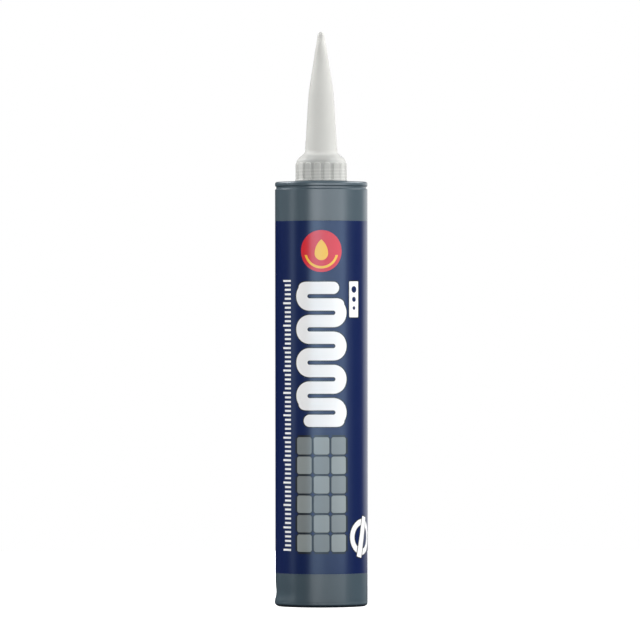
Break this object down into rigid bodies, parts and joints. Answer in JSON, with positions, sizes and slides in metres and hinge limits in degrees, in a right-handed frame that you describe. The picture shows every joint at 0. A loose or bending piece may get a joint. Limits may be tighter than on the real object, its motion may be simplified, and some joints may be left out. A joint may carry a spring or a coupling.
{
  "type": "caulk tube",
  "caption": "Upright sealant cartridge: grey barrel with a blue wrap label, a plunger in its open rear, and a translucent white screw-on nozzle with a ribbed collar and a closed tapering tip.",
  "frame": {"origin": "on the axis of the tube, in the plane of its rear rim, on which it stands", "axes": "+Z along the tube from the rear rim to the tip of the nozzle, -Y out of the printed front of the label"},
  "size_m": [0.047, 0.047, 0.2919],
  "materials": {
    "barrel_plastic": "satin",
    "label_film": "satin",
    "nozzle_plastic": "satin",
    "plunger_plastic": "satin",
    "sealant_paste": "matte"
  },
  "bodies": {
    "barrel": {"barrel": "barrel_plastic", "label": "label_film", "sealant": "sealant_paste"},
    "nozzle": {"nozzle": "nozzle_plastic"},
    "plunger": {"piston": "plunger_plastic"}
  },
  "joints": [
    {"name": "nozzle_lift", "type": "slide", "parent": "barrel", "child": "nozzle", "axis": [0, 0, 1], "range_m": [0, 0.03]},
    {"name": "plunger_slide", "type": "slide", "parent": "barrel", "child": "plunger", "axis": [0, 0, 1], "range_m": [0, 0.189], "deforming": ["sealant"]}
  ]
}
